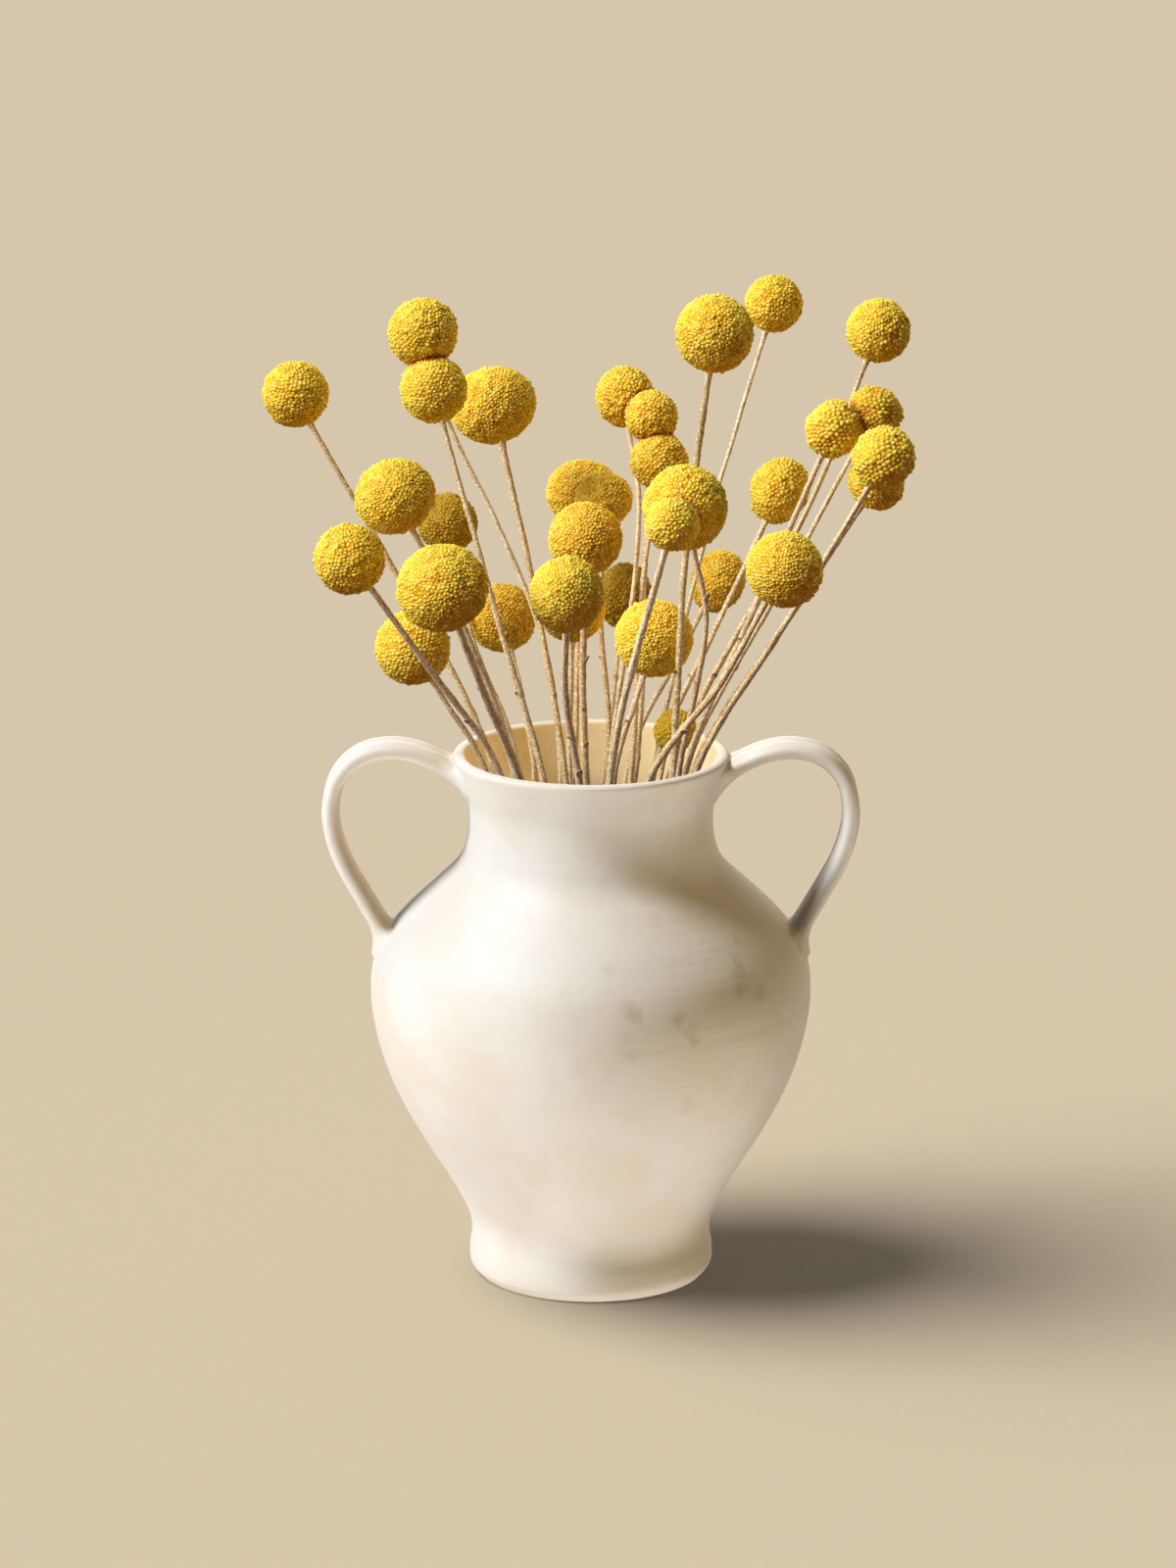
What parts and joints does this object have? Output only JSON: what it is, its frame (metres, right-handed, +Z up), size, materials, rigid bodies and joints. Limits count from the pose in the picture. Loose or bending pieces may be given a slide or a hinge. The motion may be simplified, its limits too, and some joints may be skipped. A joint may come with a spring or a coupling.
{
  "type": "bunch of billy buttons in a vase",
  "caption": "Dried ball-shaped yellow flower heads on bare straw stems, standing in a full-bellied stoneware vase with two strap handles.",
  "frame": {"origin": "middle of the vase's flat base, on the surface it stands on", "axes": "+Z up; X runs from handle to handle, with +X to the right seen from the front; -Y is the front"},
  "size_m": [0.2455, 0.1803, 0.3812],
  "materials": {
    "stoneware": "satin",
    "florets": "matte",
    "dry_stem": "matte"
  },
  "bodies": {
    "root": {"vase": "stoneware", "flower_head_01": "florets", "flower_head_04": "florets", "flower_head_05": "florets", "flower_head_06": "florets", "flower_head_07": "florets", "flower_head_08": "florets", "flower_head_09": "florets", "flower_head_10": "florets", "flower_head_13": "florets", "flower_head_14": "florets", "flower_head_15": "florets", "flower_head_16": "florets", "flower_head_22": "florets", "flower_head_23": "florets", "flower_head_24": "florets", "flower_head_25": "florets", "flower_head_26": "florets", "flower_head_27": "florets", "flower_head_32": "florets", "flower_head_33": "florets", "flower_heads_02_03": "florets", "flower_heads_11_12": "florets", "flower_heads_17_18_19": "florets", "flower_heads_20_21": "florets", "flower_heads_28_29": "florets", "flower_heads_30_31": "florets", "stem_01": "dry_stem", "stem_02": "dry_stem", "stem_03": "dry_stem", "stem_04": "dry_stem", "stem_05": "dry_stem", "stem_06": "dry_stem", "stem_07": "dry_stem", "stem_08": "dry_stem", "stem_09": "dry_stem", "stem_10": "dry_stem", "stem_11": "dry_stem", "stem_12": "dry_stem", "stem_13": "dry_stem", "stem_14": "dry_stem", "stem_15": "dry_stem", "stem_16": "dry_stem", "stem_17": "dry_stem", "stem_18": "dry_stem", "stem_19": "dry_stem", "stem_20": "dry_stem", "stem_21": "dry_stem", "stem_22": "dry_stem", "stem_23": "dry_stem", "stem_24": "dry_stem", "stem_25": "dry_stem", "stem_26": "dry_stem", "stem_27": "dry_stem", "stem_28": "dry_stem", "stem_29": "dry_stem", "stem_30": "dry_stem", "stem_31": "dry_stem", "stem_32": "dry_stem", "stem_33": "dry_stem"}
  },
  "joints": []
}
